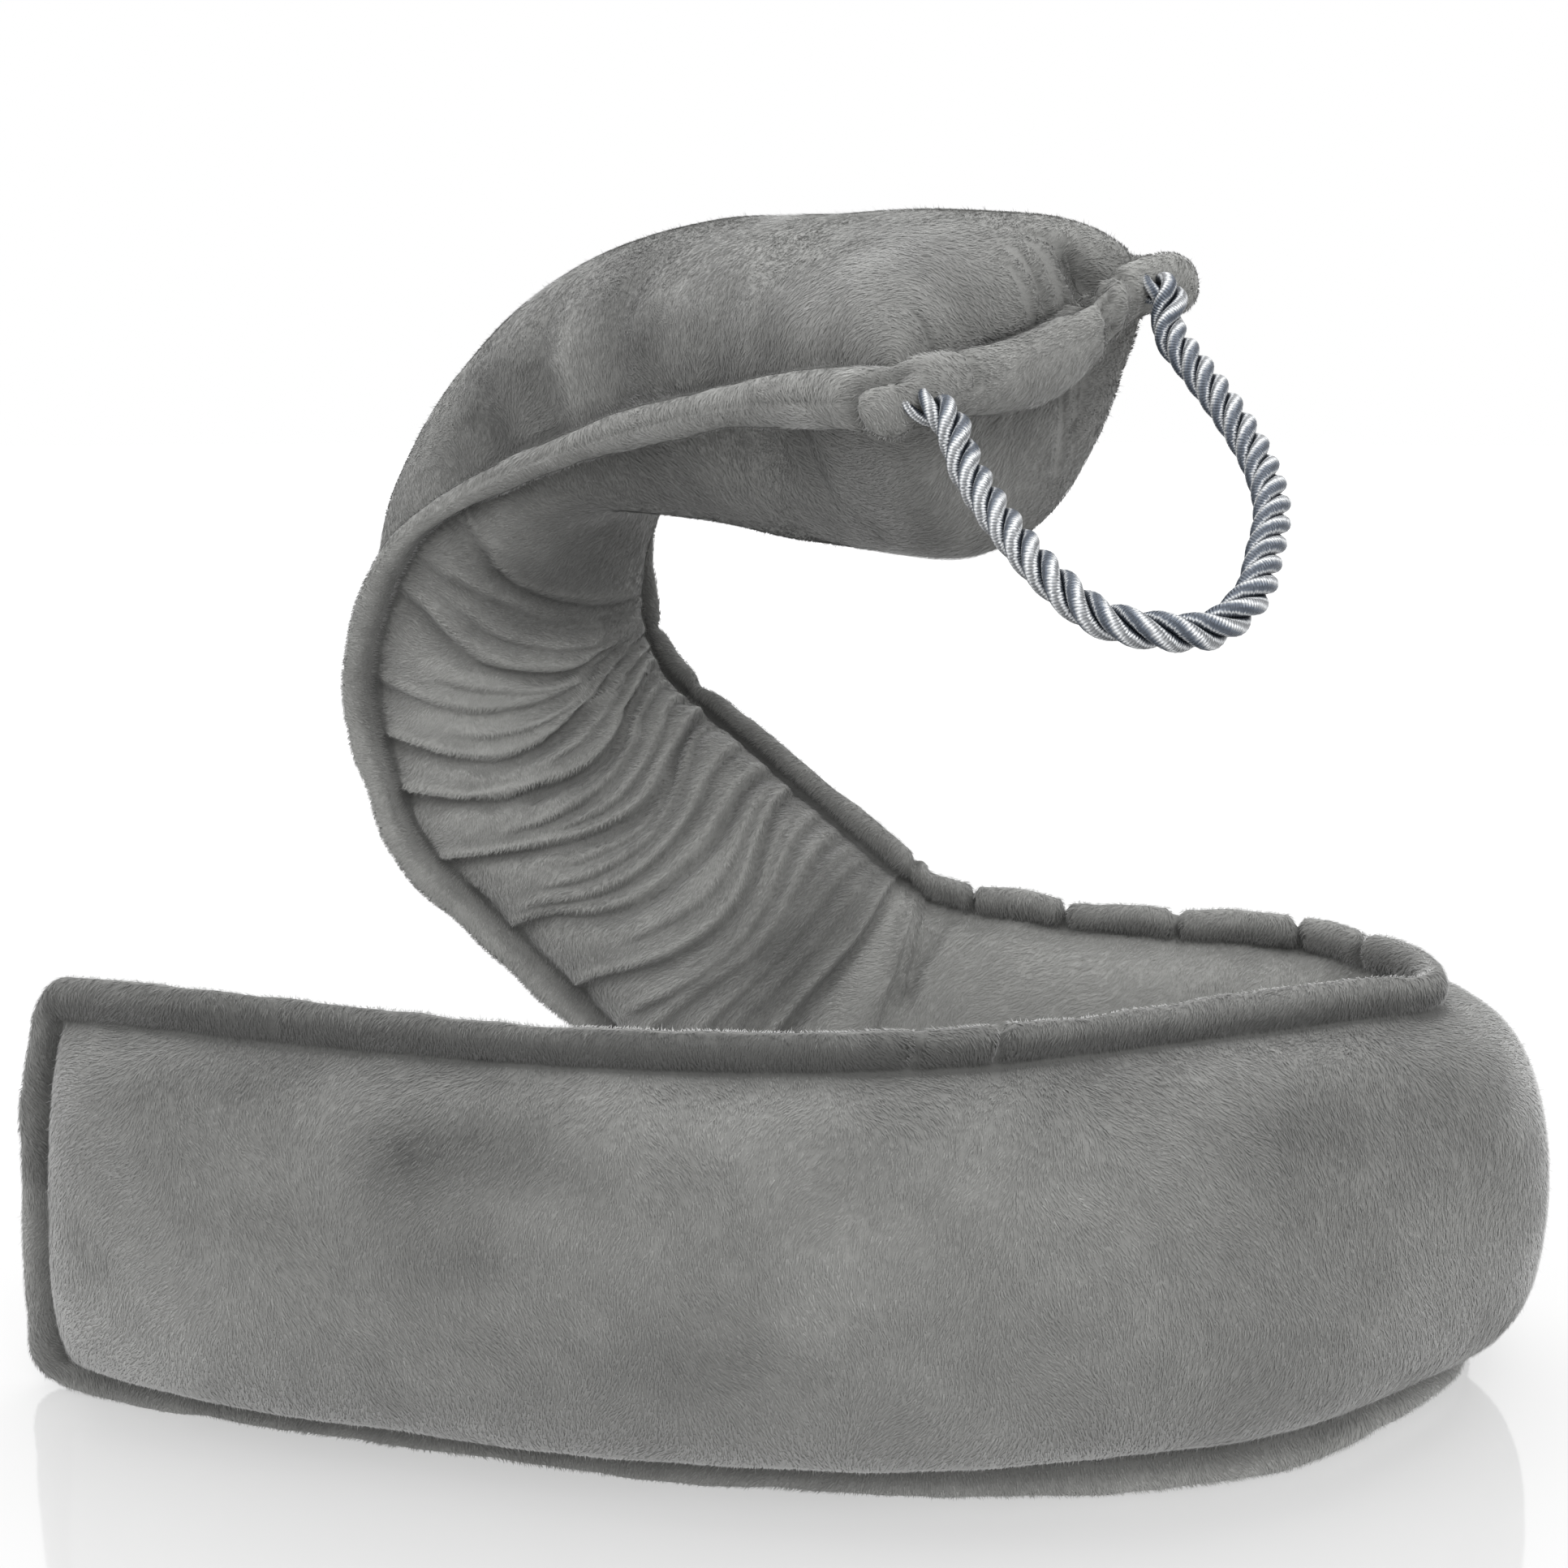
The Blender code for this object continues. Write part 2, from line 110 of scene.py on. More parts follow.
# Pleats of the inner face, finer than the solid's creases: their places along the
# cushion at four shares of its width, the shares between which each shows, and its
# depth and width
PLEAT_SHARES = (0.10, 0.35, 0.60, 0.85)
PLEATS = (
    (573, 570, 566, 560, 0.00, 1.00, 1.8, 0.6),
    (580, 576, 571, 568, 0.30, 0.95, 0.9, 1.4),
    (586, 581, 576, 575, 0.10, 0.95, 1.3, 1.3),
    (592, 585, 579, 580, 0.35, 0.95, 0.8, 1.1),
    (597, 588, 581, 586, 0.05, 0.95, 1.6, 1.3),
    (606, 591, 586, 593, 0.10, 0.95, 1.5, 1.2),
    (614, 595, 589, 597, 0.30, 0.90, 0.8, 1.0),
    (622, 600, 593, 603, 0.00, 1.00, 1.9, 1.2),
    (632, 608, 599, 607, 0.25, 0.90, 0.9, 1.2),
    (646, 620, 610, 613, 0.00, 0.98, 2.2, 1.3),
    (649, 626, 618, 624, 0.08, 1.00, 1.6, 1.2),
    (654, 632, 625, 636, 0.18, 1.00, 1.3, 1.1),
    (663, 638, 629, 642, 0.25, 1.00, 1.2, 1.0),
    (674, 645, 633, 641, 0.00, 1.00, 2.3, 1.3),
    (677, 650, 639, 651, 0.30, 1.00, 1.3, 1.0),
    (682, 655, 647, 661, 0.22, 1.00, 1.4, 1.1),
    (690, 663, 652, 668, 0.40, 1.00, 0.9, 1.0),
    (698, 671, 656, 674, 0.00, 1.00, 2.4, 1.4),
    (706, 680, 668, 690, 0.40, 1.00, 1.0, 1.1),
    (715, 690, 686, 716, 0.00, 0.98, 2.1, 1.4),
    (724, 701, 695, 726, 0.20, 0.92, 0.9, 1.3),
    (732, 713, 706, 734, 0.00, 0.90, 1.2, 1.5),
    (742, 724, 711, 738, 0.15, 0.88, 1.0, 1.4),
    (760, 737, 723, 742, 0.04, 0.85, 1.9, 1.5),
    (766, 749, 738, 746, 0.10, 0.80, 0.9, 1.4),
    (771, 760, 753, 752, 0.05, 0.85, 1.3, 1.6),
    (787, 768, 760, 760, 0.04, 0.85, 1.7, 1.6),
)

# Short furrows: place, side, face (1 outside the bend, -1 inside it, 0 both), turn in
# degrees from the cushion's run, half of the length, width and depth
FURROWS = (
    (219, 45.5, 0, 78, 5.5, 0.9, 2.4),
    (202, 45.5, 0, 72, 4.5, 0.9, 1.5),
    (64, 45.0, 1, 85, 4.0, 1.2, 0.6),
    (493, 45.5, 0, 88, 4.5, 1.1, 2.6),
    (472, 45.5, 0, 84, 4.5, 1.1, 2.8),
    (445, 45.5, 0, 86, 4.5, 1.0, 2.4),
    (412, 45.5, 0, 84, 4.5, 1.1, 2.8),
    (389, 45.5, 0, 86, 4.5, 1.2, 2.0),
    (504, 29.0, -1, -60, 15.0, 2.6, 1.0),
    (946, 11.5, 0, 8, 9.0, 1.1, 3.0),
    (946, 15.5, 0, -6, 8.0, 1.0, 2.6),
    (947, 19.5, 0, 10, 7.0, 1.0, 1.8),
    (943, 20.0, 1, 62, 7.0, 1.6, 2.4),
    (938, 16.0, 1, 50, 6.0, 1.5, 1.2),
    (941, 6.0, 1, 18, 6.0, 1.2, 0.9),
    (944, 2.0, 1, 14, 6.0, 1.1, 0.8),
    (948, 7.0, 1, 74, 6.0, 1.3, 2.0),
    (949, 11.0, 1, 82, 6.0, 1.0, 2.0),
    (948, 14.5, 1, 76, 5.0, 0.9, 1.4),
    (944, -11.0, 1, 78, 3.5, 1.3, 1.4),
    (946, -28.0, 1, 4, 9.0, 0.9, 0.9),
    (944, -46.0, 0, 40, 8.0, 1.4, 2.8),
    (905, -39.0, -1, 60, 5.0, 3.4, 1.2),
    (828, -33.0, 1, 84, 15.0, 4.5, 1.5),
    (853, -25.0, 1, 80, 15.0, 3.8, 1.4),
    (809, -34.0, 1, 88, 13.0, 4.5, 1.3),
    (884, -36.0, 1, 70, 12.0, 4.5, 1.0),
    (931, 38.0, -1, 22, 8.0, 2.0, 2.0),
)

# Patches where the pile looks darker or lighter. The rows on the front run, below place 310, are
# where the pile lies the other way. The rows past place 400 are painted shade and painted light:
# darker ones under the curl, in the curl's folds and on the inner face, lighter ones inside the
# U, up the rise and on the curl's ridges and top. Each row: place, side, face, reach along,
# reach across, and how much darker (+) or lighter (-) it looks
NAP_AND_PAINTED_SHADING = (
    (103, 27, 1, 11, 9, 1.5),
    (122, 31, 1, 11, 7, 1.1),
    (112, 8, 1, 20, 8, 0.5),
    (67, 36, 1, 13, 6, 0.8),
    (152, -12, 1, 14, 10, 0.5),
    (197, 34, 1, 13, 9, 0.6),
    (232, 37, 1, 20, 7, 0.8),
    (272, 24, 1, 13, 8, 0.6),
    (268, -20, 1, 14, 12, 0.4),
    (186, 6, 1, 18, 12, -0.6),
    (40, -20, 1, 26, 18, -0.4),
    (50, 47, 1, 60, 6, 1.2),
    (160, 47, 1, 50, 6, 1.5),
    (430, 47, -1, 90, 6, 0.8),
    (822, -36, 1, 7, 6, 1.3),
    (811, -36, 1, 6, 6, 1.2),
    (847, -25, 1, 5, 9, 1.1),
    (848, -13, 1, 6, 8, 0.9),
    (859, -36, 1, 9, 6, 1.4),
    (884, -39, 1, 14, 5, 0.8),
    (902, -36, 1, 7, 6, 1.0),
    (800, -25, 1, 6, 7, -0.5),
    (799, -38, 1, 6, 5, 0.9),
    (887, -18, 1, 13, 9, -0.5),
    (868, -25, 1, 6, 6, -0.7),
    (834, -34, 1, 3.5, 9, -0.8),
    (848, 4, 1, 20, 18, 0.5),
    (880, -20, 1, 14, 9, 0.5),
    (930, -14, 1, 12, 8, 0.7),
    (450, 0, -1, 80, 60, -1.3),
    (640, 0, -1, 90, 60, -0.6),
    (50, 34, 1, 40, 12, 0.7),
    (270, 2, 1, 26, 16, 0.45),
    (305, 28, 1, 40, 18, 0.8),
    (885, 32, 1, 45, 16, -0.6),
    (775, 0, -1, 20, 30, 1.0),
    (880, 10, -1, 50, 30, 1.2),
    (850, -36, -1, 20, 9, 0.7),
    (915, -35, -1, 20, 12, 0.7),
    (480, 25, -1, 18, 16, -0.5),
    (576, 12, -1, 7, 30, 0.7),
    (550, 25, -1, 9, 20, -0.7),
    (825, -20, -1, 18, 18, 0.6),
    (718, -12, -1, 30, 24, -1.3),
)

# The satin loop's route, as in the solid, in millimetres before the shift; it starts
# and ends inside the flange's seam
LOOP_ROUTE = (
    (25.0, 37.5, 218.2),
    (27.8, 34.9, 217.4),
    (30.7, 32.2, 216.5),
    (36, 21, 205),
    (43, 7, 194),
    (50, -4, 186),
    (58, -11, 180),
    (68, -14, 178),
    (78, -12, 178),
    (86, -6, 183),
    (91, 6, 190),
    (95, 19, 198),
    (95, 32, 206),
    (91, 45, 216),
    (86, 57, 225),
    (82, 67, 233),
    (82.1, 71.6, 241.1),
    (79.3, 74.3, 241.9),
    (76.4, 76.9, 242.8),
)


class PlushLook(bpy.types.PropertyGroup):
    """Sizes and colours of the plush cloth."""
    pile_length: FloatProperty(
        name="Pile length", description="Length of one fibre tuft", default=0.0016,
        unit="LENGTH")
    pile_width: FloatProperty(
        name="Tuft width", description="Width of one tuft at its root", default=0.00026,
        unit="LENGTH")
    tufts: IntProperty(
        name="Tufts", description="Tufts of pile on the whole cushion", default=700000)
    softness: FloatProperty(
        name="Softness", description="Height of the filling's soft unevenness",
        default=0.0009, unit="LENGTH")
    grey: FloatVectorProperty(
        name="Plush grey", description="Colour of the pile", subtype="COLOR",
        default=(0.195, 0.196, 0.188))
    # Strength of every darkening and lightening of the pile, painted shade and light among them
    contrast: FloatProperty(
        name="Contrast", description="How much brushed patches darken", default=0.42,
        subtype="FACTOR")


class LoopLook(bpy.types.PropertyGroup):
    """Sizes and colours of the twisted satin loop."""
    diameter: FloatProperty(
        name="Diameter", description="Across the twisted cord", default=0.0075,
        unit="LENGTH")
    lay: FloatProperty(
        name="Lay", description="Length of one full turn of a strand", default=0.020,
        unit="LENGTH")
    thread: FloatProperty(
        name="Thread", description="Spacing of the satin threads wound on a strand",
        default=0.00050, unit="LENGTH")
    # The satin's grey and its painted highlights
    silver: FloatVectorProperty(
        name="Silver", description="Bright side of the satin", subtype="COLOR",
        default=(0.70, 0.715, 0.73))
    # Painted shade: the satin's dark band, its grooves and the lines between threads
    slate: FloatVectorProperty(
        name="Slate", description="Dark side of the satin", subtype="COLOR",
        default=(0.055, 0.066, 0.085))


class StageLook(bpy.types.PropertyGroup):
    """Camera, floor and light."""
    lens: FloatProperty(
        name="Lens", description="Focal length of the camera", default=50.0,
        subtype="DISTANCE_CAMERA")
    tilt: FloatProperty(
        name="Tilt", description="How far the camera looks down",
        default=math.radians(10.9), subtype="ANGLE")
    key: FloatProperty(
        name="Key light", description="Power of the large soft light", default=14.0,
        unit="POWER")
    floor_grey: FloatProperty(
        name="Floor", description="Lightness of the floor", default=0.25,
        subtype="FACTOR")
    floor_glow: FloatProperty(
        name="Floor glow", description="Light that comes through the floor", default=0.47,
        subtype="FACTOR")


class Value:
    """A shader socket that can be used in sums."""

    def __init__(self, paint, socket):
        self.paint = paint
        self.socket = socket

    def maths(self, operation, *values):
        settings = {"operation": operation}
        sockets = dict(enumerate(values))
        return self.paint.node("ShaderNodeMath", settings, sockets)

    def __add__(self, other):
        return self.maths("ADD", self, other)

    def __sub__(self, other):
        return self.maths("SUBTRACT", self, other)

    def __truediv__(self, other):
        return self.maths("DIVIDE", self, other)

    def __mul__(self, other):
        return self.maths("MULTIPLY", self, other)


class Paint:
    """One material: its shader, and the method that makes every other node."""

    def __init__(self, name, roughness, metallic=0.0, sheen=0.0):
        self.material = bpy.data.materials.new(name)
        self.material.use_nodes = True
        self.tree = self.material.node_tree
        self.shader = self.tree.nodes["Principled BSDF"]
        self.set("Roughness", roughness)
        self.set("Metallic", metallic)
        self.set("Sheen Weight", sheen)

    def set(self, name, value):
        socket = self.shader.inputs[name]
        if isinstance(value, Value):
            self.tree.links.new(value.socket, socket)
        elif hasattr(value, "__len__"):
            socket.default_value = (*value, 1.0)[:4]
        else:
            socket.default_value = value

    def node(self, kind, settings=(), sockets=(), output=0):
        made = self.tree.nodes.new(kind)
        for name, setting in dict(settings).items():
            if name == "stops":
                self.stops(made.color_ramp, setting)
            else:
                setattr(made, name, setting)
        for name, value in dict(sockets).items():
            socket = made.inputs[name]
            if isinstance(value, Value):
                self.tree.links.new(value.socket, socket)
            elif hasattr(value, "__len__") and socket.type == "RGBA":
                socket.default_value = (*value, 1.0)[:4]
            else:
                socket.default_value = value
        return Value(self, made.outputs[output])

    @staticmethod
    def stops(ramp, stops):
        while len(ramp.elements) > 1:
            ramp.elements.remove(ramp.elements[-1])
        ramp.elements[0].position = stops[0][0]
        ramp.elements[0].color = (*stops[0][1], 1.0)
        for position, colour in stops[1:]:
            ramp.elements.new(position).color = (*colour, 1.0)

    def noise(self, where, scale, detail=2.0, roughness=0.5):
        sockets = {"Vector": where, "Scale": scale, "Detail": detail, "Roughness": roughness}
        return self.node("ShaderNodeTexNoise", sockets=sockets, output="Fac")

    def ramp(self, value, stops):
        return self.node("ShaderNodeValToRGB", {"stops": stops}, {"Fac": value}, "Color")

    def mix(self, share, first, second, blend="MIX"):
        settings = {"data_type": "RGBA", "blend_type": blend}
        return self.node("ShaderNodeMix", settings, {0: share, 6: first, 7: second}, 2)

    def bump(self, height, distance, strength=1.0):
        sockets = {"Height": height, "Distance": distance, "Strength": strength}
        self.set("Normal", self.node("ShaderNodeBump", sockets=sockets))


# The cloth under the pile: height of its grain, the darkness from which its shades start and the
# span that they cover, in steps. The darkness carries painted shade and painted light along with
# the pile's tone
GRAIN_HEIGHT = 0.0003
SHADE_START = -1.0
SHADE_SPAN = 3.0
SHADE_STEPS = 6


def plush_ground(look):
    """The cloth under the pile: mottled grey, with the grain of the fibre roots, darkened and
    lightened by an attribute that holds painted shade and light with the pile's tone.
    """
    paint = Paint("plush_ground", roughness=0.95, sheen=0.2)
    where = paint.node("ShaderNodeTexCoord", output="Object")
    grain = paint.noise(where, 1100.0, 3.0, 0.6)
    patches = paint.noise(where, 28.0, 3.0, 0.55)
    share = grain * 0.6 + patches * 0.4
    dark = paint.node("ShaderNodeAttribute", {"attribute_name": "brushed"}, output="Fac")
    grey = np.array(look.grey)
    colour = paint.mix(share, tuple(grey * 0.74), tuple(grey * 1.02))
    stops = []
    for step in range(SHADE_STEPS + 1):
        darkness = SHADE_START + SHADE_SPAN * step / SHADE_STEPS
        stops.append((step / SHADE_STEPS, (math.exp(-look.contrast * darkness),) * 3))
    # Painted shade and light from the attribute, multiplied into the mottled grey
    shade = paint.ramp((dark - SHADE_START) / SHADE_SPAN, stops)
    paint.set("Base Color", paint.mix(1.0, colour, shade, blend="MULTIPLY"))
    paint.bump(grain, GRAIN_HEIGHT)
    return paint.material


def plush_tuft(look, number, darkness):
    """One of the shades that the tufts are sorted into, by a darkness that holds painted shade
    and light with the pile's tone.
    """
    paint = Paint(f"plush_tuft_{number + 1}", roughness=0.85, sheen=0.5)
    grey = np.array(look.grey) * math.exp(-look.contrast * darkness)
    paint.set("Base Color", tuple(grey))
    return paint.material


# The wound satin: metres of strand in one unit of its UV map, how far a thread runs on
# in one turn, in those units, and the height of a thread
STRAND_UNIT = 0.1
THREAD_PITCH = 0.02
THREAD_HEIGHT = 0.00014


def satin_thread(look):
    """Wound satin: streaks of painted highlight and painted shade along a strand, with threads
    across it.
    """
    paint = Paint("satin_thread", roughness=0.26, metallic=0.3)
    uv = paint.node("ShaderNodeUVMap", {"uv_map": "strand"})
    ahead = paint.node("ShaderNodeSeparateXYZ", sockets={"Vector": uv}, output="X")
    around = paint.node("ShaderNodeSeparateXYZ", sockets={"Vector": uv}, output="Y")
    where = paint.node("ShaderNodeTexCoord", output="Object")
    stray = paint.noise(where, 620.0, 2.0)
    broad = paint.noise(where, 60.0, 1.0)
    wound = ahead + around * THREAD_PITCH
    thread = wound * (2 * math.pi * STRAND_UNIT / look.thread)
    thread = thread.maths("SINE", thread) * 0.5 + 0.5
    each = paint.node("ShaderNodeCombineXYZ", sockets={"X": wound * (STRAND_UNIT / look.thread)})
    ragged = paint.noise(each, 1.3, 1.0)
    silver = np.array(look.silver)
    slate = np.array(look.slate)
    # Around a strand: painted shade in the grooves at both sides, painted highlights with the
    # satin's grey between, a band of painted shade and a thin painted highlight
    stops = (
        (0.19, slate * 0.15),
        (0.25, slate * 0.6),
        (0.28, silver * 0.7),
        (0.31, silver),
        (0.35, silver * 0.22),
        (0.41, silver * 0.45),
        (0.46, silver * 1.2),
        (0.50, silver * 0.6),
        (0.55, slate * 1.8),
        (0.61, slate * 0.7),
        (0.67, slate * 1.5),
        (0.71, silver * 0.8),
        (0.75, slate * 0.6),
        (0.81, slate * 0.15),
    )
    # Noise frays the edges of the painted streaks
    streak = around + (stray - 0.5) * 0.06 + (ragged - 0.5) * 0.16 + (broad - 0.5) * 0.12
    colour = paint.ramp(streak, stops)
    # Dark lines between the threads: painted shade
    paint.set("Base Color", paint.mix(thread * 0.55, colour, tuple(slate)))
    paint.bump(thread, THREAD_HEIGHT, 0.8)
    return paint.material


def slopes(rows, knots):
    """Slope of a smooth curve at each row of a table."""
    gaps = np.diff(knots)[:, None]
    rises = np.diff(rows, axis=0) / gaps
    inner = (rises[:-1] * gaps[1:] + rises[1:] * gaps[:-1]) / (gaps[1:] + gaps[:-1])
    return np.vstack([rises[:1], inner, rises[-1:]])


def smooth(rows, knots, places):
    """Values of a table's columns at places along it."""
    cell = np.clip(np.searchsorted(knots, places) - 1, 0, len(knots) - 2)
    span = (knots[cell + 1] - knots[cell])[:, None]
    t = (places - knots[cell])[:, None] / span
    slope = slopes(rows, knots)
    value = rows[cell] * (2 * t**3 - 3 * t**2 + 1) + rows[cell + 1] * (3 * t**2 - 2 * t**3)
    value += slope[cell] * (t**3 - 2 * t**2 + t) * span
    return value + slope[cell + 1] * (t**3 - t**2) * span


def unit(vectors):
    """Vectors of length one."""
    return vectors / np.maximum(np.linalg.norm(vectors, axis=-1, keepdims=True), 1e-12)


def ease(values):
    """A smooth step from 0 to 1."""
    values = np.clip(values, 0.0, 1.0)
    return values * values * (3 - 2 * values)


def bell(values, reach):
    """A smooth bump around 0."""
    return np.exp(-((values / reach) ** 2))


class Cloth:
    """Places of points on the cushion: along its run, across it and on which face."""

    STATION_GAP = 2.0
    POINTS_ACROSS = 11

    def __init__(self, points):
        rows = np.array(RUN, dtype=float)
        rows[:, 0:3] += ORIGIN_SHIFT
        rows[:, 3:6] += ORIGIN_SHIFT
        gaps = np.linalg.norm(np.diff(rows[:, 0:3], axis=0), axis=1)
        knots = np.concatenate([[0.0], np.cumsum(gaps)])
        self.length = knots[-1]
        stations = np.arange(0.0, self.length, self.STATION_GAP)
        values = smooth(rows, knots, stations)
        middles = (values[:, 0:3] + values[:, 3:6]) / 2
        along = unit(np.gradient(middles, axis=0))
        width = values[:, 3:6] - values[:, 0:3]
        shares = np.linspace(0.0, 1.0, self.POINTS_ACROSS)
        strip = values[:, None, 0:3] + width[:, None, :] * shares[None, :, None]
        tree = KDTree(strip.shape[0] * strip.shape[1])
        for number, point in enumerate(strip.reshape(-1, 3)):
            tree.insert(point, number)
        tree.balance()
        nearest = np.array([tree.find(point)[1] for point in points])
        station = nearest // len(shares)
        off = points - strip.reshape(-1, 3)[nearest]
        self.along = along[station]
        self.across = unit(width)[station]
        self.facing = unit(np.cross(along, width))[station]
        self.place = stations[station] + (off * self.along).sum(1)
        self.share = shares[nearest % len(shares)]
        self.share = self.share + (off * width[station]).sum(1) / (width[station] ** 2).sum(1)
        self.height = (off * self.facing).sum(1)
        self.face = np.where(self.height >= 0, 1.0, -1.0)
        self.side = (self.share - 0.5) * 2 * HALF_WIDTH
        hems = np.where(self.side < 0, values[station, 6], values[station, 7])
        from_side = HALF_WIDTH - np.abs(self.side)
        from_end = np.minimum(self.place, self.length - self.place)
        self.from_seam = np.minimum(from_side - hems, from_end - END_HEM)
        self.from_edge = np.minimum(from_side, from_end)
        above = np.maximum(np.abs(self.height) - SEAM_HALF_THICKNESS, 0.0)
        self.seam_gap = np.hypot(self.from_seam, above)
        self.edge_gap = np.hypot(self.from_edge, self.height)
        steps = np.gradient(values[:, 0:6], axis=0) / self.STATION_GAP
        step = steps[station, 0:3] * (1 - self.share[:, None])
        step = step + steps[station, 3:6] * self.share[:, None]
        self.stretch = np.linalg.norm(step, axis=1)


def pleat_places(pleat, share):
    """A pleat's place along the cushion at shares of the width."""
    knots = np.array(PLEAT_SHARES)
    rows = np.array(pleat[:4], dtype=float)[:, None]
    held = np.clip(share, knots[0], knots[-1])
    ends = slopes(rows, knots)[:, 0]
    beyond = np.where(share < knots[0], ends[0], ends[-1]) * (share - held)
    return smooth(rows, knots, held)[:, 0] + beyond


# How pleats are pressed in: their distance from the flange's edge and how softly they
# end there; how shallow the bend's tight side makes them; how much wider the gentle side
# is; the lip beside the steep side, as its height, place and width; the shares of the
# cushion's width over which a pleat begins and ends
PLEAT_MARGIN = 8.0
PLEAT_MARGIN_FADE = 3.0
SQUEEZE = 1.6
SHALLOWEST = 0.3
GENTLE_SIDE = 2.6
LIP_HEIGHT = 0.45
LIP_PLACE = 2.0
LIP_WIDTH = 1.3
BEGIN_FADE = 0.12
END_FADE = 0.10


def pressed_in(place, side, face, stretch):
    """Depth of the pleats and furrows: a pleat falls steeply on one side."""
    depth = np.zeros(len(place))
    share = side / (2 * HALF_WIDTH) + 0.5
    inside = ease((HALF_WIDTH - PLEAT_MARGIN - np.abs(side)) / PLEAT_MARGIN_FADE) * (face < 0)
    squeeze = np.clip(stretch * SQUEEZE, SHALLOWEST, 1.0)
    for pleat in PLEATS:
        begin, end, deep, width = pleat[4:]
        off = (place - pleat_places(pleat, share)) * stretch
        shape = np.where(off > 0, bell(off, width), bell(off, width * GENTLE_SIDE))
        lip = LIP_HEIGHT * bell(off - width * LIP_PLACE, width * LIP_WIDTH)
        fade = ease((share - begin) / BEGIN_FADE) * ease((end - share) / END_FADE)
        depth += deep * squeeze * fade * inside * (shape - lip)
    for at, aside, on_face, turn, reach, width, deep in FURROWS:
        angle = math.radians(turn)
        ahead = (place - at) * stretch
        beside = side - aside
        run = ahead * math.cos(angle) + beside * math.sin(angle)
        off = beside * math.cos(angle) - ahead * math.sin(angle)
        depth += deep * bell(off, width) * np.exp(-((run / reach) ** 4)) * (face * on_face >= 0)
    return depth


def uneven(points, scale, seed):
    """Smooth noise at points given in millimetres, from -1 to 1."""
    shift = Vector((seed * 17.3, seed * 5.1, seed * 9.7))
    return np.array([noise.noise(Vector(point) / scale + shift) for point in points])


def layered(points, layers):
    """Smooth noise added up from rows of strength, size in millimetres and seed."""
    value = 0.0
    for strength, scale, seed in layers:
        value = value + strength * uneven(points, scale, seed)
    return value


def mesh_array(mesh, items, name, width):
    """One attribute of all of a mesh's items, as an array."""
    values = np.empty(len(items) * width, dtype=np.float32)
    items.foreach_get(name, values)
    return values.reshape(-1, width).astype(float)


def mesh_triangles(mesh):
    """The corners of a mesh's triangles, as an array."""
    mesh.calc_loop_triangles()
    corners = np.empty(len(mesh.loop_triangles) * 3, dtype=np.int32)
    mesh.loop_triangles.foreach_get("vertices", corners)
    return corners.reshape(-1, 3)


def settle(mesh, values, free, rounds):
    """Values at a mesh's points, evened out with their neighbours' where they are free."""
    ends = np.empty(len(mesh.edges) * 2, dtype=np.int32)
    mesh.edges.foreach_get("vertices", ends)
    first, second = ends.reshape(-1, 2).T
    size = len(values)
    shared = np.bincount(first, minlength=size) + np.bincount(second, minlength=size)
    for _ in range(rounds):
        total = np.bincount(first, values[second], size)
        total += np.bincount(second, values[first], size)
        values = np.where(free, total / np.maximum(shared, 1), values)
    return values


def deselect():
    """Leave nothing selected."""
    for other in bpy.context.selected_objects:
        other.select_set(False)


def copy_of(node, name):
    """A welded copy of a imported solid, as quads."""
    deselect()
    source = frame["nodes"][node]
    source.select_set(True)
    bpy.context.view_layer.objects.active = source
    bpy.ops.object.duplicate()
    piece = bpy.context.view_layer.objects.active
    bpy.ops.object.parent_clear(type="CLEAR_KEEP_TRANSFORM")
    piece.name = name
    piece.data.name = name
    for key in list(piece.keys()):
        del piece[key]
    bpy.ops.object.mode_set(mode="EDIT")
    bpy.ops.mesh.select_all(action="SELECT")
    bpy.ops.mesh.remove_doubles(threshold=0.00002)
    bpy.ops.mesh.tris_convert_to_quads(face_threshold=math.pi, shape_threshold=math.pi)
    bpy.ops.object.mode_set(mode="OBJECT")
    return piece


def apply(piece, kind, **settings):
    """Add one modifier to a piece and apply it."""
    modifier = piece.modifiers.new(kind.title(), kind)
    for name, value in settings.items():
        setattr(modifier, name, value)
    deselect()
    piece.select_set(True)
    bpy.context.view_layer.objects.active = piece
    bpy.ops.object.modifier_apply(modifier=modifier.name)


def new_mesh(name, points, faces):
    """An object made from arrays of points and of equal-sided faces."""
    mesh = bpy.data.meshes.new(name)
    sides = faces.shape[1]
    mesh.vertices.add(len(points))
    mesh.vertices.foreach_set("co", points.astype(np.float32).ravel())
    mesh.loops.add(faces.size)
    mesh.loops.foreach_set("vertex_index", faces.astype(np.int32).ravel())
    mesh.polygons.add(len(faces))
    mesh.polygons.foreach_set("loop_start", np.arange(len(faces), dtype=np.int32) * sides)
    mesh.update(calc_edges=True)
    mesh.shade_smooth()
    piece = bpy.data.objects.new(name, mesh)
    bpy.context.scene.collection.objects.link(piece)
    return piece


